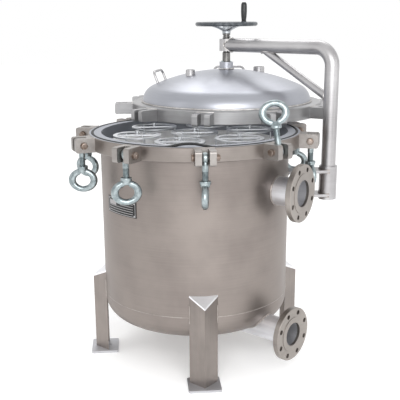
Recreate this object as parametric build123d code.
from build123d import *
import os
from math import asin, cos, degrees, radians, sin, sqrt

# Multi-bag filter housing with a davit-hung lid. Millimetres, +Z up.
# Origin: on the floor, on the vessel's axis. The front leg stands towards -Y, the davit towards +X.
# Places round the vessel are angles from the front (-Y), growing towards the davit (+X).

os.makedirs("parts", exist_ok=True)

# ---------------------------------------------------------------- driving dimensions
# vessel
SHELL_R = 390.0            # outside radius of the shell, and of both dished heads
SHELL_WALL = 5.0
BORE_R = SHELL_R - SHELL_WALL
SEAM_Z = 284.0             # weld between the shell and the bottom head
FACE_Z = 960.0             # sealing face of the body flange
FLANGE_R = SHELL_R + 47.5  # outside radius of the body and lid flanges
FLANGE_T = 56.0
BOTTOM_DEPTH = 130.0       # dish of the bottom head, below its straight skirt
BOTTOM_SKIRT = 24.0
KNUCKLE_R = 78.0           # outside knuckle radius of both dished heads
ORING_R = FLANGE_R - 16.5  # radius of the O-ring's centre line
ORING_CORD = 10.0
GROOVE_W = 11.0
GROOVE_DEPTH = 7.0
FLANGE_CHAMFER = 3.0       # on the rims of the body and lid flanges

# swing bolts
BOLT_COUNT = 10
BOLT_R = 12.0              # M24
PIN_R = 8.0
PIN_TAIL = 6.0             # pin standing out of each side of the lug
PIN_HEAD_R = PIN_R + 4
PIN_WASHER_R = PIN_R + 3
PIN_WASHER_T = 3.0
EYE_R = BOLT_R + 6
EYE_W = 2 * BOLT_R + 1
SLOT_W = EYE_W + 3         # slot for the bolt, in the body's lugs and in the lid's
LUG_W = SLOT_W + 48
LUG_END = 32.0             # metal beyond the hinge pin
LUG_ROOT = 12.0            # lug drawn from this far inside the rim, and cut to it
LUG_CORNER = 9.0
SLOT_CORNER = 3.0
LID_LUG_T = FLANGE_T - 8
PIN_CIRCLE_R = FLANGE_R + 42.5          # hinge pins of the swing bolts
SLOT_FLOOR_R = PIN_CIRCLE_R - EYE_R - 0.6
LID_LUG_END_R = PIN_CIRCLE_R + 38
NUT_SEAT = FLANGE_T + LID_LUG_T / 2 + 4  # from the hinge pin to the eye nut, over a closed lid's lug
NUT_COLLAR_R = BOLT_R + 9
NUT_COLLAR_H = 22.0
RING_R = 36.0              # centre line of the eye nut's ring
RING_CORD_R = 12.0
BOLT_TAIL = 5.0            # thread standing out of the collar, into the ring
NUT_CHAMFER = 2.0
RAISED_BOLT = 1            # the bolt that stands upright; the others hang
BOLT_LEAN = 12.0           # its lean towards the vessel, against the slot's floor
# how far each eye nut happens to be turned about its own bolt
NUT_TURNS = [82.0, 41.0, 25.0, 60.0, 10.0, 40.0, -30.0, 75.0, 67.0, 40.0]

# nozzles: ASME class 150, 4 inch in and 3 1/2 inch out
TUBESHEET_Z = FACE_Z - 302              # top of the plate that the baskets hang in
INLET = {"angle": 53.0, "z": TUBESHEET_Z + 90, "face": SHELL_R + 108, "pipe_r": 57.15,
         "wall": 4.0, "flange_r": 114.5, "raised_r": 78.6, "hub_r": 67.5, "pcd": 190.5}
OUTLET = {"angle": 45.0, "z": SEAM_Z - 96, "face": SHELL_R + 120, "pipe_r": 50.8,
          "wall": 3.6, "flange_r": 108.0, "raised_r": 69.9, "hub_r": 61.0, "pcd": 177.8}
NOZZLE_START_R = 60.0      # the pipes are drawn from here out, and cut to the wall
NOZZLE_BOLTS = 8
NOZZLE_HOLE_R = 9.5
NOZZLE_FLANGE_T = 22.3
NOZZLE_CHAMFER = 1.5
RAISED_FACE = 1.6
HUB_H = 12.0

# legs
LEG_R = SHELL_R + 52       # outer corner of each angle-iron leg
LEG_SIDE = 80.0
LEG_T = 8.0
LEG_TOP = SEAM_Z + 50      # top of the outer corner
LEG_SLOPE = 32.0           # the top is cut to shed water
CAP_T = 6.0
FOOT_W = 130.0
FOOT_D = 115.0
FOOT_T = 10.0
FOOT_OVERHANG = 18.0       # foot plate beyond the leg's corner
FOOT_CORNER = 8.0
ANCHOR_R = 9.0
ANCHOR_CIRCLE_R = LEG_R - 57

# bags
TUBESHEET_T = 12.0
TUBESHEET_GAP = 1.5        # round the plate, to lower it into the bore
BASKET_GAP = 2.0           # round a basket in the plate's hole
LEDGE_W = 20.0
LEDGE_T = 12.0
BASKET_R = 90.0
BASKET_WALL = 2.0
BASKET_LENGTH = 410.0
BASKET_RIM_R = BASKET_R + 12
BASKET_RIM_T = 5.0
BASKET_RING_R = (BORE_R + BASKET_RIM_R) / 2    # circle of the six outer baskets
OUTER_BASKETS = 6
BASKET_TURN = -18.0        # the first outer basket, measured like the places round the vessel
BAG_WALL = 2.0
BAG_GAP = 0.5              # round a bag in its basket
BAG_CLEAR = 2.0            # under a bag in its basket
BAG_RING_T = 6.0
BAG_RING_INSET = 4.0       # bag's ring inside the edge of the basket's rim
FRAME_TOP_Z = FACE_Z - 8   # top of the hold-down frames' upper rings
FRAME_ROD_R = 4.0
FRAME_POSTS = 3
FRAME_RING_W = 16.0
FRAME_RING_T = 5.0
FRAME_BAR_W = 16.0
KNOB_R = 8.0
KNOB_H = 16.0
KNOB_HEAD_H = 8.0
KNOB_NECK_R = KNOB_R * 0.6

# davit
DAVIT_R = 30.15            # 2 inch pipe
DAVIT_WALL = 3.9
DAVIT_X = LID_LUG_END_R + DAVIT_R + 21.85      # pillar's axis, and the arm's reach from it
BEND_R = 76.0
SOCKET_Z = FACE_Z - 298    # the pillar stands on the socket's floor here
SOCKET_H = 135.0
SOCKET_R = DAVIT_R + 7.9
SOCKET_FLOOR = 8.0
BRACKET_T = 12.0
BRACKET_W = 110.0
BRACKET_INSET = 14.0       # from each end of the socket
BRACE_R = 12.5
BRACE_DROP = 214.0         # where the brace's axis meets the pillar's, below the arm
BRACE_REACH = DAVIT_X * 2 / 3           # where it meets the arm's, from the pillar
NUT_R = 32.0
LIFT_NUT_H = 53.0
ARM_RISE = 76.0            # arm's axis above the lid's boss
SWUNG = 47.0               # the lid stands swung this far open, clockwise from above

# lid
LID_GAP = 18.0             # the lid is lifted this far off the sealing face
LID_TURN = 17.7            # the first lug of the lid, measured like the places round the vessel
DOME_H = 144.0
BOSS_R = 31.5
BOSS_H = 33.0              # boss above the crown of the dome, with its cap
BOSS_CAP_T = 5.0
BOSS_CAP_GAP = 0.6         # round the screw in the boss's cap
FOOT_GAP = 1.0             # under the screw's foot in the boss
HANDLE_ANGLES = [-106.8, 170.7]
HANDLE_CIRCLE_R = SHELL_R - 80
HANDLE_W = 150.0
HANDLE_H = 52.0
HANDLE_ROD_R = 6.0
HANDLE_BEND_R = 22.0
HANDLE_SUNK = 14.0         # bar run on below the dome's surface, and cut to it
COUPLINGS = [{"angle": -69.4, "circle": 183.4, "r": 21.0, "plug_r": 15.0},
             {"angle": 105.9, "circle": 166.2, "r": 26.0, "plug_r": 19.0}]
COUPLING_H = 24.0
COUPLING_CHAMFER = 2.0
PLUG_BORE_DEPTH = 16.0
PLUG_T = 13.0
PLUG_SUNK = 2.0            # plug's face below the coupling's
HEX_SOCKET_DEPTH = 8.0

# lifting screw and its handwheel
SCREW_R = 18.0             # Tr36
SCREW_FOOT_R = SCREW_R + 2.5
SCREW_FOOT_H = 8.0
COLLAR_R = SCREW_R + 3.95
COLLAR_H = 12.0
SPINDLE_R = SCREW_R / 2
WHEEL_HUB_R = SCREW_R + 1
WHEEL_HUB_H = 36.0
HUB_RISE = 50.0            # hub's underside above the arm's axis
RIM_RISE = 43.0            # rim's middle above the hub's underside
WHEEL_R = 132.0
WHEEL_RIM_R = 10.0
SPOKES = 4
SPOKE_R = 7.0
SPOKE_START_R = 10.0       # inside the hub
SPOKE_SINK = 16.0          # spoke's start below the hub's top
SPOKE_CREST = 5.0          # the same at its knee
HUB_NUT_R = 15.0           # across the corners, half
HUB_NUT_H = 11.0
SPINDLE_TAIL = 4.0         # spindle standing out of the hub's nut
GRIP_ANGLE = 28.7
GRIP_R = 13.5
GRIP_H = 82.0
GRIP_CHAMFER = 3.0
GRIP_ROUND = 2.0
GRIP_BOSS_R = WHEEL_RIM_R + 2           # flat on the rim that the grip stands on
GRIP_BOSS_H = 1.0          # above the rim's crown
GRIP_PIN_R = 5.0
GRIP_PIN_SUNK = 8.0        # pin's foot below the rim's middle
GRIP_HEAD_R = GRIP_PIN_R + 3
GRIP_HEAD_H = 5.0
GRIP_HEAD_SUNK = 1.0       # pin's head below the grip's top
GRIP_HEAD_GAP = 0.3        # round the pin's head in the grip

# nameplate
PLATE_ANGLE = -53.0
PLATE_Z = TUBESHEET_Z + 40
PLATE_W = 180.0
PLATE_H = 64.0
PLATE_T = 1.6
PLATE_BEND = 120.0         # room for the plate's bend round the shell

# clearances and joins
RUN = 0.05                 # radial, shaft in a hole
SEAT = 0.1                 # between faces that slide or lie on each other
WELD = 0.05                # between a welded piece and the curved wall it stands on
THROUGH = 1.0              # a cut runs this far past the face that it leaves by
LAP = 1.0                  # two shapes of one piece run this far into each other

# ---------------------------------------------------------------- worked-out sizes
FLANGE_Z = FACE_Z - FLANGE_T
PIN_Z = FACE_Z - FLANGE_T / 2
LID_Z = FACE_Z + LID_GAP
DOME_Z = LID_Z + FLANGE_T
CROWN_Z = DOME_Z + DOME_H
BOSS_TOP = CROWN_Z + BOSS_H
ARM_Z = BOSS_TOP + ARM_RISE
BRACE_LOW_Z = ARM_Z - BRACE_DROP
WHEEL_HUB_Z = ARM_Z + HUB_RISE
WHEEL_RIM_Z = WHEEL_HUB_Z + RIM_RISE
PITCH = 360.0 / BOLT_COUNT
LID_X = DAVIT_X * (1 - cos(radians(SWUNG)))
LID_Y = DAVIT_X * sin(radians(SWUNG))
UP = Align.MIN
MID = Align.CENTER
DOWN = Align.MAX


# ---------------------------------------------------------------- helpers
def tube(outer, inner, low, high):
    """An upright tube on the vessel's axis."""
    height = high - low
    return Pos(0, 0, low) * (
        Cylinder(outer, height, align=(MID, MID, UP))
        - Cylinder(inner, height, align=(MID, MID, UP))
    )


def disc(radius, low, high):
    return Pos(0, 0, low) * Cylinder(radius, high - low, align=(MID, MID, UP))


def rod(start, end, radius):
    """A round bar between two points."""
    run = Vector(*end) - Vector(*start)
    return Plane(origin=start, z_dir=run) * Cylinder(radius, run.length, align=(MID, MID, UP))


def turned(part, angle):
    """Moves a piece built at the front to its place round the axis."""
    return Rot(0, 0, angle) * part


def outwards(radius, start, end, z):
    """A round bar at the front, level, from one distance off the axis to another."""
    return rod((0, -start, z), (0, -end, z), radius)


def crown_radius(radius, depth, knuckle):
    """Radius of the crown that runs tangent into the knuckle of a dished head."""
    flat = radius - knuckle
    return (depth ** 2 - knuckle ** 2 + flat ** 2) / (2 * (depth - knuckle))


def dished(radius, depth, knuckle, skirt=0.0):
    """A solid dished head: its rim at z = 0, its crown downwards."""
    crown = crown_radius(radius, depth, knuckle)
    flat = radius - knuckle
    turn = asin(flat / (crown - knuckle))
    bottom = (0, -skirt - depth)
    crown_z = bottom[1] + crown
    on_crown = (crown * sin(turn / 2), crown_z - crown * cos(turn / 2))
    join = (crown * sin(turn), crown_z - crown * cos(turn))
    half = (turn + radians(90)) / 2
    on_knuckle = (flat + knuckle * sin(half), -skirt - knuckle * cos(half))
    edges = [ThreePointArc(bottom, on_crown, join), ThreePointArc(join, on_knuckle, (radius, -skirt))]
    if skirt:
        edges.append(Line((radius, -skirt), (radius, 0)))
    edges += [Line((radius, 0), (0, 0)), Line((0, 0), bottom)]
    return revolve(Plane.XZ * make_face(edges), Axis.Z)


def dome_height(radius):
    """Height of the dome's outside above its own base, at a distance from its axis."""
    crown = crown_radius(SHELL_R, DOME_H, KNUCKLE_R)
    return DOME_H - crown + sqrt(crown ** 2 - radius ** 2)


def pinned(part):
    """Carries a piece from the closed davit to where it stands swung open."""
    return Pos(DAVIT_X, 0, 0) * Rot(0, 0, -SWUNG) * Pos(-DAVIT_X, 0, 0) * part


def on_lid(part):
    """Carries a piece built on the vessel's axis to the swung lid's axis."""
    return Pos(LID_X, LID_Y, 0) * part


def group(parts):
    return Compound(children=[p for piece in parts for p in piece.solids()])


# ---------------------------------------------------------------- vessel
def nozzle_pipe(nozzle, wall_solid):
    """Pipe stub, set on the outside of the wall that it opens into."""
    end = nozzle["face"] - NOZZLE_FLANGE_T / 2
    outer = outwards(nozzle["pipe_r"], NOZZLE_START_R, end, nozzle["z"])
    bore = outwards(nozzle["pipe_r"] - nozzle["wall"], NOZZLE_START_R - 10, end + THROUGH, nozzle["z"])
    return turned(outer - bore, nozzle["angle"]) - wall_solid


def nozzle_hole(nozzle, reach):
    """The hole in the wall behind a pipe stub."""
    bore_r = nozzle["pipe_r"] - nozzle["wall"]
    return turned(outwards(bore_r, NOZZLE_START_R, reach, nozzle["z"]), nozzle["angle"])


def nozzle_flange(nozzle):
    """Slip-on flange: plate, raised face, hub and bolt holes that straddle the centre line."""
    z, face = nozzle["z"], nozzle["face"]
    back = face - RAISED_FACE - NOZZLE_FLANGE_T
    body = outwards(nozzle["flange_r"], back, face - RAISED_FACE, z)
    body = chamfer(body.edges().filter_by(GeomType.CIRCLE), NOZZLE_CHAMFER)
    body += outwards(nozzle["raised_r"], face - RAISED_FACE, face, z)
    body += outwards(nozzle["hub_r"], back - HUB_H, back, z)
    pipe_end = face - NOZZLE_FLANGE_T / 2
    body -= outwards(nozzle["pipe_r"] + WELD, back - HUB_H - THROUGH, pipe_end, z)
    body -= outwards(nozzle["pipe_r"] - nozzle["wall"], back, face + THROUGH, z)
    for i in range(NOZZLE_BOLTS):
        a = radians((i + 0.5) * 360 / NOZZLE_BOLTS)
        x, dz = nozzle["pcd"] / 2 * sin(a), nozzle["pcd"] / 2 * cos(a)
        body -= rod((x, -back + THROUGH, z + dz), (x, -face - THROUGH, z + dz), NOZZLE_HOLE_R)
    return turned(body, nozzle["angle"])


def bottom_solid(growth):
    """The bottom head filled in, its outside moved out by growth."""
    head = dished(SHELL_R + growth, BOTTOM_DEPTH + growth, KNUCKLE_R + growth, BOTTOM_SKIRT)
    return Pos(0, 0, SEAM_Z) * head


vessel_shell = tube(SHELL_R, BORE_R, SEAM_Z, FLANGE_Z) - nozzle_hole(INLET, FLANGE_R)
bottom_head = bottom_solid(0) - bottom_solid(-SHELL_WALL) - nozzle_hole(OUTLET, FLANGE_R)
inlet_pipe = nozzle_pipe(INLET, disc(SHELL_R + WELD, 0, FACE_Z))
outlet_pipe = nozzle_pipe(OUTLET, bottom_solid(WELD))

body_flange = tube(FLANGE_R, BORE_R, FLANGE_Z, FACE_Z)
body_rim = body_flange.edges().filter_by(GeomType.CIRCLE).group_by(SortBy.RADIUS)[-1]
body_flange = chamfer(body_rim, FLANGE_CHAMFER)
groove_low = FACE_Z - GROOVE_DEPTH
body_flange -= tube(ORING_R + GROOVE_W / 2, ORING_R - GROOVE_W / 2, groove_low, FACE_Z + THROUGH)
flange_o_ring = Pos(0, 0, groove_low + ORING_CORD / 2) * Torus(ORING_R, ORING_CORD / 2)


def lug(low, high, end_r):
    """A block welded to a flange's rim, slotted from its outer end for a swing bolt."""
    inner_r = FLANGE_R - LUG_ROOT
    block = Pos(0, -inner_r, low) * Box(LUG_W, end_r - inner_r, high - low, align=(MID, DOWN, UP))
    ends = block.edges().filter_by(Axis.X).group_by(Axis.Y)[0]
    block = fillet(ends, min(LUG_CORNER, (high - low) / 2 - 1))
    slot = Pos(0, -SLOT_FLOOR_R, low - THROUGH) * Box(
        SLOT_W, end_r, high - low + 2 * THROUGH, align=(MID, DOWN, UP)
    )
    slot = fillet(slot.edges().filter_by(Axis.Z).group_by(Axis.Y)[-1], SLOT_CORNER)
    return block - slot - disc(FLANGE_R + WELD, low - THROUGH, high + THROUGH)


def hinge_pin():
    """A plain pin across the lug, with a head at one end and a washer at the other."""
    half = LUG_W / 2
    pin = rod((-half - PIN_TAIL, 0, 0), (half + PIN_TAIL, 0, 0), PIN_R)
    pin += rod((-half - PIN_TAIL, 0, 0), (-half - SEAT, 0, 0), PIN_HEAD_R)
    pin += rod((half + SEAT, 0, 0), (half + PIN_WASHER_T, 0, 0), PIN_WASHER_R)
    return Pos(0, -PIN_CIRCLE_R, PIN_Z) * pin


pin_hole = Pos(0, -PIN_CIRCLE_R, PIN_Z) * rod((-LUG_W, 0, 0), (LUG_W, 0, 0), PIN_R + RUN)
body_lug = lug(FLANGE_Z, FACE_Z, PIN_CIRCLE_R + LUG_END) - pin_hole
body_lugs = group([turned(body_lug, i * PITCH) for i in range(BOLT_COUNT)])
hinge_pins = group([turned(hinge_pin(), i * PITCH) for i in range(BOLT_COUNT)])


# ---------------------------------------------------------------- legs
def leg_outline(inner):
    """Angle iron in plan, its corner outwards; with inner=0 the whole triangle it closes off."""
    reach = LEG_SIDE * sin(radians(45))
    t = LEG_T * sin(radians(45))
    tips = [(0, -LEG_R), (reach, -LEG_R + reach), (-reach, -LEG_R + reach)]
    if not inner:
        return make_face(Polyline(*tips, close=True))
    outline = [tips[0], tips[1], (reach - t, -LEG_R + reach + t), (0, -LEG_R + 2 * t)]
    outline += [(-reach + t, -LEG_R + reach + t), tips[2]]
    return make_face(Polyline(*outline, close=True))


CUT_SIZE = 5 * LEG_SIDE    # a block larger than the leg, to cut its top with
slope = Pos(0, -LEG_R, LEG_TOP) * Rot(LEG_SLOPE, 0, 0)
shell_outside = disc(SHELL_R + WELD, 0, FACE_Z)
leg = Pos(0, 0, FOOT_T) * extrude(leg_outline(True), LEG_TOP + LEG_SIDE)
leg -= slope * Box(CUT_SIZE, CUT_SIZE, CUT_SIZE, align=(MID, MID, UP))
leg -= shell_outside
leg_cap = extrude(leg_outline(False), LEG_TOP + LEG_SIDE)
leg_cap &= slope * Box(CUT_SIZE, CUT_SIZE, CAP_T, align=(MID, MID, UP))
leg_cap -= shell_outside
foot_plate = Pos(0, -LEG_R - FOOT_OVERHANG, 0) * Box(FOOT_W, FOOT_D, FOOT_T, align=(MID, UP, UP))
foot_plate = fillet(foot_plate.edges().filter_by(Axis.Z), FOOT_CORNER)
foot_plate -= Pos(0, -ANCHOR_CIRCLE_R, 0) * Cylinder(ANCHOR_R, 3 * FOOT_T)

QUARTERS = [0, 90, 180, 270]
legs = group([turned(leg, a) for a in QUARTERS])
leg_caps = group([turned(leg_cap, a) for a in QUARTERS])
foot_plates = group([turned(foot_plate, a) for a in QUARTERS])

# ---------------------------------------------------------------- bags and what carries them
BASKET_PLACES = [(0, 0)]
for i in range(OUTER_BASKETS):
    a = radians(BASKET_TURN + i * 360 / OUTER_BASKETS)
    BASKET_PLACES.append((BASKET_RING_R * sin(a), -BASKET_RING_R * cos(a)))

plate_low = TUBESHEET_Z - TUBESHEET_T
rim_top = TUBESHEET_Z + BASKET_RIM_T
tubesheet_ledge = tube(BORE_R - WELD, BORE_R - LEDGE_W, plate_low - LEDGE_T, plate_low)
tubesheet = disc(BORE_R - TUBESHEET_GAP, plate_low, TUBESHEET_Z)
basket_hole = disc(BASKET_R + BASKET_GAP, plate_low - THROUGH, TUBESHEET_Z + THROUGH)
for x, y in BASKET_PLACES:
    tubesheet -= Pos(x, y, 0) * basket_hole

basket_low = TUBESHEET_Z - BASKET_LENGTH
basket = tube(BASKET_R, BASKET_R - BASKET_WALL, basket_low, rim_top)
basket += disc(BASKET_R, basket_low, basket_low + BASKET_WALL)
basket += tube(BASKET_RIM_R, BASKET_R - BASKET_WALL, TUBESHEET_Z, rim_top)

bag_r = BASKET_R - BASKET_WALL - BAG_GAP
bag_low = basket_low + BASKET_WALL + BAG_CLEAR
bag_inner = bag_r - BAG_WALL
bag_ring_r = BASKET_RIM_R - BAG_RING_INSET
bag_ring_top = rim_top + BAG_RING_T
filter_bag = disc(bag_r, bag_low, bag_ring_top)
filter_bag -= disc(bag_inner, bag_low + BAG_WALL, bag_ring_top + THROUGH)
filter_bag += tube(bag_ring_r, bag_inner, rim_top, bag_ring_top)

# a hold-down frame: a ring on the bag's ring, three posts, and an upper ring with a bar and a knob to
# lift it by; the closed lid keeps it down
frame_r = bag_ring_r
frame_inner = frame_r - FRAME_RING_W
frame_low = FRAME_TOP_Z - FRAME_RING_T
hold_down = tube(frame_r, frame_inner, bag_ring_top, bag_ring_top + FRAME_RING_T)
hold_down += tube(frame_r, frame_inner, frame_low, FRAME_TOP_Z)
post_r = frame_r - FRAME_RING_W / 2
post = rod((0, -post_r, bag_ring_top + LAP), (0, -post_r, frame_low + LAP), FRAME_ROD_R)
for i in range(FRAME_POSTS):
    hold_down += turned(post, 90 + i * 360 / FRAME_POSTS)
bar_length = 2 * (frame_inner + 2 * LAP)
hold_down += Pos(0, 0, frame_low) * Box(bar_length, FRAME_BAR_W, FRAME_RING_T, align=(MID, MID, UP))
knob_top = FRAME_TOP_Z + KNOB_H
hold_down += disc(KNOB_NECK_R, FRAME_TOP_Z - LAP, knob_top - KNOB_HEAD_H + LAP)
hold_down += disc(KNOB_R, knob_top - KNOB_HEAD_H, knob_top)

strainer_baskets = group([Pos(x, y, 0) * basket for x, y in BASKET_PLACES])
filter_bags = group([Pos(x, y, 0) * filter_bag for x, y in BASKET_PLACES])
hold_down_frames = group([Pos(x, y, 0) * hold_down for x, y in BASKET_PLACES])

# ---------------------------------------------------------------- nameplate
plate_r = SHELL_R + WELD
nameplate = tube(plate_r + PLATE_T, plate_r, PLATE_Z - PLATE_H / 2, PLATE_Z + PLATE_H / 2)
nameplate &= Pos(0, -plate_r, PLATE_Z) * Box(PLATE_W, PLATE_BEND, PLATE_H)
nameplate = turned(nameplate, PLATE_ANGLE)

# ---------------------------------------------------------------- davit
socket_low = SOCKET_Z - SOCKET_FLOOR
davit_socket = Pos(DAVIT_X, 0, 0) * (
    disc(SOCKET_R, socket_low, SOCKET_Z + SOCKET_H)
    - disc(DAVIT_R + RUN, SOCKET_Z, SOCKET_Z + SOCKET_H + THROUGH)
)


def bracket(low):
    """A tapered plate between the shell and the davit's socket."""
    ends = [(0, -BRACKET_W / 2), (DAVIT_X, -SOCKET_R), (DAVIT_X, SOCKET_R), (0, BRACKET_W / 2)]
    plate = Pos(0, 0, low) * extrude(make_face(Polyline(*ends, close=True)), BRACKET_T)
    plate -= shell_outside
    return plate - Pos(DAVIT_X, 0, 0) * disc(SOCKET_R + WELD, 0, FACE_Z)


upper_bracket = SOCKET_Z + SOCKET_H - BRACKET_INSET - BRACKET_T
socket_brackets = group([bracket(socket_low + BRACKET_INSET), bracket(upper_bracket)])


def davit_sweep(radius, end_x):
    """The pillar, its bend and the arm as one round bar."""
    foot = (DAVIT_X, 0, SOCKET_Z + SEAT)
    bend_low = (DAVIT_X, 0, ARM_Z - BEND_R)
    bend_high = (DAVIT_X - BEND_R, 0, ARM_Z)
    mid = BEND_R * (1 - cos(radians(45)))
    on_bend = (DAVIT_X - mid, 0, ARM_Z - mid)
    path = Wire([Line(foot, bend_low), ThreePointArc(bend_low, on_bend, bend_high),
                 Line(bend_high, (end_x, 0, ARM_Z))])
    return sweep(Plane(origin=foot, z_dir=(0, 0, 1)) * Circle(radius), path=path)


# the arm runs nearly to the screw's axis, and is then cut round to seat the nut
davit_bar = davit_sweep(DAVIT_R, 4)
nut_seat = disc(NUT_R + WELD, ARM_Z - 2 * DAVIT_R, ARM_Z + 2 * DAVIT_R)
davit_pipe = davit_bar - davit_sweep(DAVIT_R - DAVIT_WALL, 3) - nut_seat
brace_foot = (DAVIT_X, 0, BRACE_LOW_Z)
brace_head = (DAVIT_X - BRACE_REACH, 0, ARM_Z)
davit_brace = rod(brace_foot, brace_head, BRACE_R) - davit_bar
davit_brace = davit_brace.solids().sort_by(SortBy.VOLUME)[-1]
lift_nut = tube(NUT_R, SCREW_R + RUN, ARM_Z - LIFT_NUT_H / 2, ARM_Z + LIFT_NUT_H / 2)

# ---------------------------------------------------------------- lid
def dome_solid(growth):
    """The dome filled in, its outside moved out by growth."""
    head = dished(SHELL_R + growth, DOME_H + growth, KNUCKLE_R + growth)
    return Pos(0, 0, DOME_Z) * Rot(180, 0, 0) * head


dome_seat = dome_solid(WELD)
lid_dome = dome_solid(0) - dome_solid(-SHELL_WALL)
lid_flange = tube(FLANGE_R, BORE_R, LID_Z, DOME_Z)
lid_rim = lid_flange.edges().filter_by(GeomType.CIRCLE).group_by(SortBy.RADIUS)[-1]
lid_flange = chamfer(lid_rim, FLANGE_CHAMFER)

lug_low = LID_Z + (FLANGE_T - LID_LUG_T) / 2
lid_lug = lug(lug_low, lug_low + LID_LUG_T, LID_LUG_END_R)
lid_lugs = group([turned(lid_lug, LID_TURN + i * PITCH) for i in range(BOLT_COUNT)])

# the boss holds the screw's foot: the collar lies on the foot, and the cap on the collar
cap_low = BOSS_TOP - BOSS_CAP_T
collar_top = cap_low - SEAT
foot_top = collar_top - COLLAR_H - SEAT
foot_low = foot_top - SCREW_FOOT_H
lid_boss = disc(BOSS_R, DOME_Z + DOME_H / 2, cap_low) - dome_seat
lid_boss -= disc(COLLAR_R + RUN, foot_low - FOOT_GAP, cap_low + THROUGH)
boss_cap = tube(BOSS_R, SCREW_R + BOSS_CAP_GAP, cap_low, BOSS_TOP)
thrust_collar = tube(COLLAR_R, SCREW_R + RUN, foot_top + SEAT, collar_top)


def lid_handle(angle):
    """A round-bar handle standing square to the dome, its ends cut to the dome's curve."""
    half = HANDLE_W / 2
    foot = (-half, -HANDLE_SUNK, 0)
    path = Wire(FilletPolyline(foot, (-half, HANDLE_H, 0), (half, HANDLE_H, 0),
                               (half, -HANDLE_SUNK, 0), radius=HANDLE_BEND_R))
    bar = sweep(Plane(origin=foot, z_dir=(0, 1, 0)) * Circle(HANDLE_ROD_R), path=path)
    rise = dome_height(HANDLE_CIRCLE_R)
    tilt = degrees(asin(HANDLE_CIRCLE_R / crown_radius(SHELL_R, DOME_H, KNUCKLE_R)))
    bar = Pos(0, -HANDLE_CIRCLE_R, DOME_Z + rise) * Rot(90 + tilt, 0, 0) * bar
    return turned(bar, angle) - dome_seat


def coupling_at(coupling):
    """Half coupling on the dome, bored for its plug."""
    top = DOME_Z + dome_height(coupling["circle"]) + COUPLING_H
    body = disc(coupling["r"], DOME_Z + DOME_H / 2, top)
    body = chamfer(body.edges().sort_by(Axis.Z)[-1], COUPLING_CHAMFER)
    body -= disc(coupling["plug_r"], top - PLUG_BORE_DEPTH, top + THROUGH)
    return turned(Pos(0, -coupling["circle"], 0) * body, coupling["angle"]) - dome_seat


def plug_at(coupling):
    """Flush plug with a hexagon socket, half as wide as the plug."""
    top = DOME_Z + dome_height(coupling["circle"]) + COUPLING_H - PLUG_SUNK
    plug = disc(coupling["plug_r"] - WELD, top - PLUG_T, top)
    hexagon = extrude(RegularPolygon(coupling["plug_r"] / 2, 6), HEX_SOCKET_DEPTH + THROUGH)
    plug -= Pos(0, 0, top - HEX_SOCKET_DEPTH) * hexagon
    return turned(Pos(0, -coupling["circle"], 0) * plug, coupling["angle"])


lid_handles = group([lid_handle(a) for a in HANDLE_ANGLES])
lid_couplings = group([coupling_at(c) for c in COUPLINGS])
coupling_plugs = group([plug_at(c) for c in COUPLINGS])

# ---------------------------------------------------------------- lifting screw and handwheel
hub_top = WHEEL_HUB_Z + WHEEL_HUB_H
spindle_top = hub_top + HUB_NUT_H + SPINDLE_TAIL
lift_screw = disc(SCREW_FOOT_R, foot_low, foot_top) + disc(SCREW_R, foot_low, WHEEL_HUB_Z)
lift_screw += disc(SPINDLE_R, WHEEL_HUB_Z - LAP, spindle_top)

rim_crown = WHEEL_RIM_Z + WHEEL_RIM_R
handwheel = disc(WHEEL_HUB_R, WHEEL_HUB_Z, hub_top)
handwheel += Pos(0, 0, WHEEL_RIM_Z) * Torus(WHEEL_R, WHEEL_RIM_R)
# each spoke leaves the hub level, rises to its knee and runs nearly level into the rim
spoke_start = (0, -SPOKE_START_R, hub_top - SPOKE_SINK)
spoke_knee = (0, -WHEEL_R * 0.45, hub_top - SPOKE_CREST)
spoke_path = Spline(spoke_start, spoke_knee, (0, -WHEEL_R, WHEEL_RIM_Z), tangents=[(0, -1, 0), (0, -1, 0.12)])
spoke = sweep(Plane(origin=spoke_start, z_dir=(0, -1, 0)) * Ellipse(SPOKE_R * 1.3, SPOKE_R), path=spoke_path)
for i in range(SPOKES):
    handwheel += turned(spoke, GRIP_ANGLE + i * 360 / SPOKES)
grip_x = WHEEL_R * sin(radians(GRIP_ANGLE))
grip_y = -WHEEL_R * cos(radians(GRIP_ANGLE))
grip_place = Pos(grip_x, grip_y, 0)
boss_top = rim_crown + GRIP_BOSS_H
handwheel += grip_place * disc(GRIP_BOSS_R, WHEEL_RIM_Z, boss_top)
handwheel -= disc(SPINDLE_R + RUN, WHEEL_HUB_Z - THROUGH, hub_top + THROUGH)
handwheel -= grip_place * disc(GRIP_PIN_R + RUN, WHEEL_RIM_Z - 2 * WHEEL_RIM_R, boss_top + THROUGH)

hub_nut = Pos(0, 0, hub_top) * extrude(RegularPolygon(HUB_NUT_R, 6), HUB_NUT_H)
hub_nut -= disc(SPINDLE_R + RUN, hub_top - THROUGH, hub_top + HUB_NUT_H + THROUGH)

grip_low = boss_top + SEAT
grip_top = grip_low + GRIP_H
head_top = grip_top - GRIP_HEAD_SUNK
head_low = head_top - GRIP_HEAD_H
grip_spindle = disc(GRIP_PIN_R, WHEEL_RIM_Z - GRIP_PIN_SUNK, head_top) + disc(GRIP_HEAD_R, head_low, head_top)
grip_spindle = grip_place * grip_spindle
wheel_grip = disc(GRIP_R, grip_low, grip_top)
wheel_grip = chamfer(wheel_grip.edges().sort_by(Axis.Z)[0], GRIP_CHAMFER)
wheel_grip = fillet(wheel_grip.edges().sort_by(Axis.Z)[-1], GRIP_ROUND)
wheel_grip -= disc(GRIP_PIN_R + RUN, grip_low - THROUGH, grip_top + THROUGH)
wheel_grip -= disc(GRIP_HEAD_R + GRIP_HEAD_GAP, head_low - SEAT, grip_top + THROUGH)
wheel_grip = grip_place * wheel_grip


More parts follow.
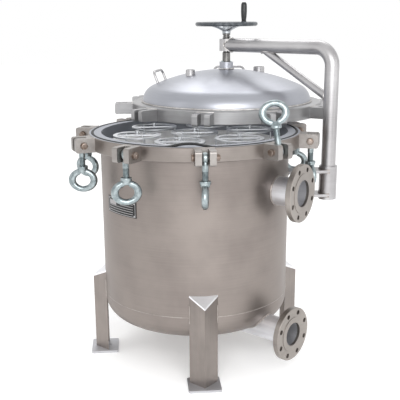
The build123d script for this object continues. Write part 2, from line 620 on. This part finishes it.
# ---------------------------------------------------------------- swing bolts and eye nuts
def swing_bolt():
    """Eye and shank, hanging from the origin."""
    bolt = rod((-EYE_W / 2, 0, 0), (EYE_W / 2, 0, 0), EYE_R)
    bolt += disc(BOLT_R, -NUT_SEAT - NUT_COLLAR_H - BOLT_TAIL, 0)
    return bolt - rod((-EYE_W, 0, 0), (EYE_W, 0, 0), PIN_R + RUN)


def eye_nut(turn):
    """Threaded collar with a lifting ring, hanging below the origin."""
    collar_low = -NUT_SEAT - NUT_COLLAR_H
    nut = disc(NUT_COLLAR_R, collar_low, -NUT_SEAT)
    nut = chamfer(nut.edges().sort_by(Axis.Z)[-1], NUT_CHAMFER)
    nut += Pos(0, 0, collar_low - RING_R) * Rot(90, 0, 0) * Torus(RING_R, RING_CORD_R)
    nut -= disc(BOLT_R + RUN, collar_low - RING_CORD_R - THROUGH, -NUT_SEAT + THROUGH)
    return turned(nut, turn)


parts = {
    "vessel_shell": vessel_shell, "bottom_head": bottom_head, "body_flange": body_flange,
    "body_lugs": body_lugs, "hinge_pins": hinge_pins, "flange_o_ring": flange_o_ring,
    "inlet_pipe": inlet_pipe, "inlet_flange": nozzle_flange(INLET),
    "outlet_pipe": outlet_pipe, "outlet_flange": nozzle_flange(OUTLET),
    "legs": legs, "leg_caps": leg_caps, "foot_plates": foot_plates,
    "tubesheet_ledge": tubesheet_ledge, "tubesheet": tubesheet,
    "strainer_baskets": strainer_baskets, "filter_bags": filter_bags,
    "hold_down_frames": hold_down_frames, "nameplate": nameplate,
    "davit_socket": davit_socket, "socket_brackets": socket_brackets,
}
for name, part in {"davit_pipe": davit_pipe, "davit_brace": davit_brace, "lift_nut": lift_nut}.items():
    parts[name] = pinned(part)
lid_parts = {
    "lid_flange": lid_flange, "lid_dome": lid_dome, "lid_lugs": lid_lugs, "lid_boss": lid_boss,
    "boss_cap": boss_cap, "lid_handles": lid_handles, "lid_couplings": lid_couplings,
    "coupling_plugs": coupling_plugs, "thrust_collar": thrust_collar, "lift_screw": lift_screw,
    "handwheel": handwheel, "hub_nut": hub_nut, "grip_spindle": grip_spindle, "wheel_grip": wheel_grip,
}
for name, part in lid_parts.items():
    parts[name] = on_lid(part)
for i in range(BOLT_COUNT):
    tip = -180 - BOLT_LEAN if i == RAISED_BOLT else 0
    place = Rot(0, 0, i * PITCH) * Pos(0, -PIN_CIRCLE_R, PIN_Z) * Rot(tip, 0, 0)
    parts[f"swing_bolt_{i + 1:02d}"] = place * swing_bolt()
    parts[f"eye_nut_{i + 1:02d}"] = place * eye_nut(NUT_TURNS[i])

for name, part in parts.items():
    export_step(part, f"parts/{name}.step")
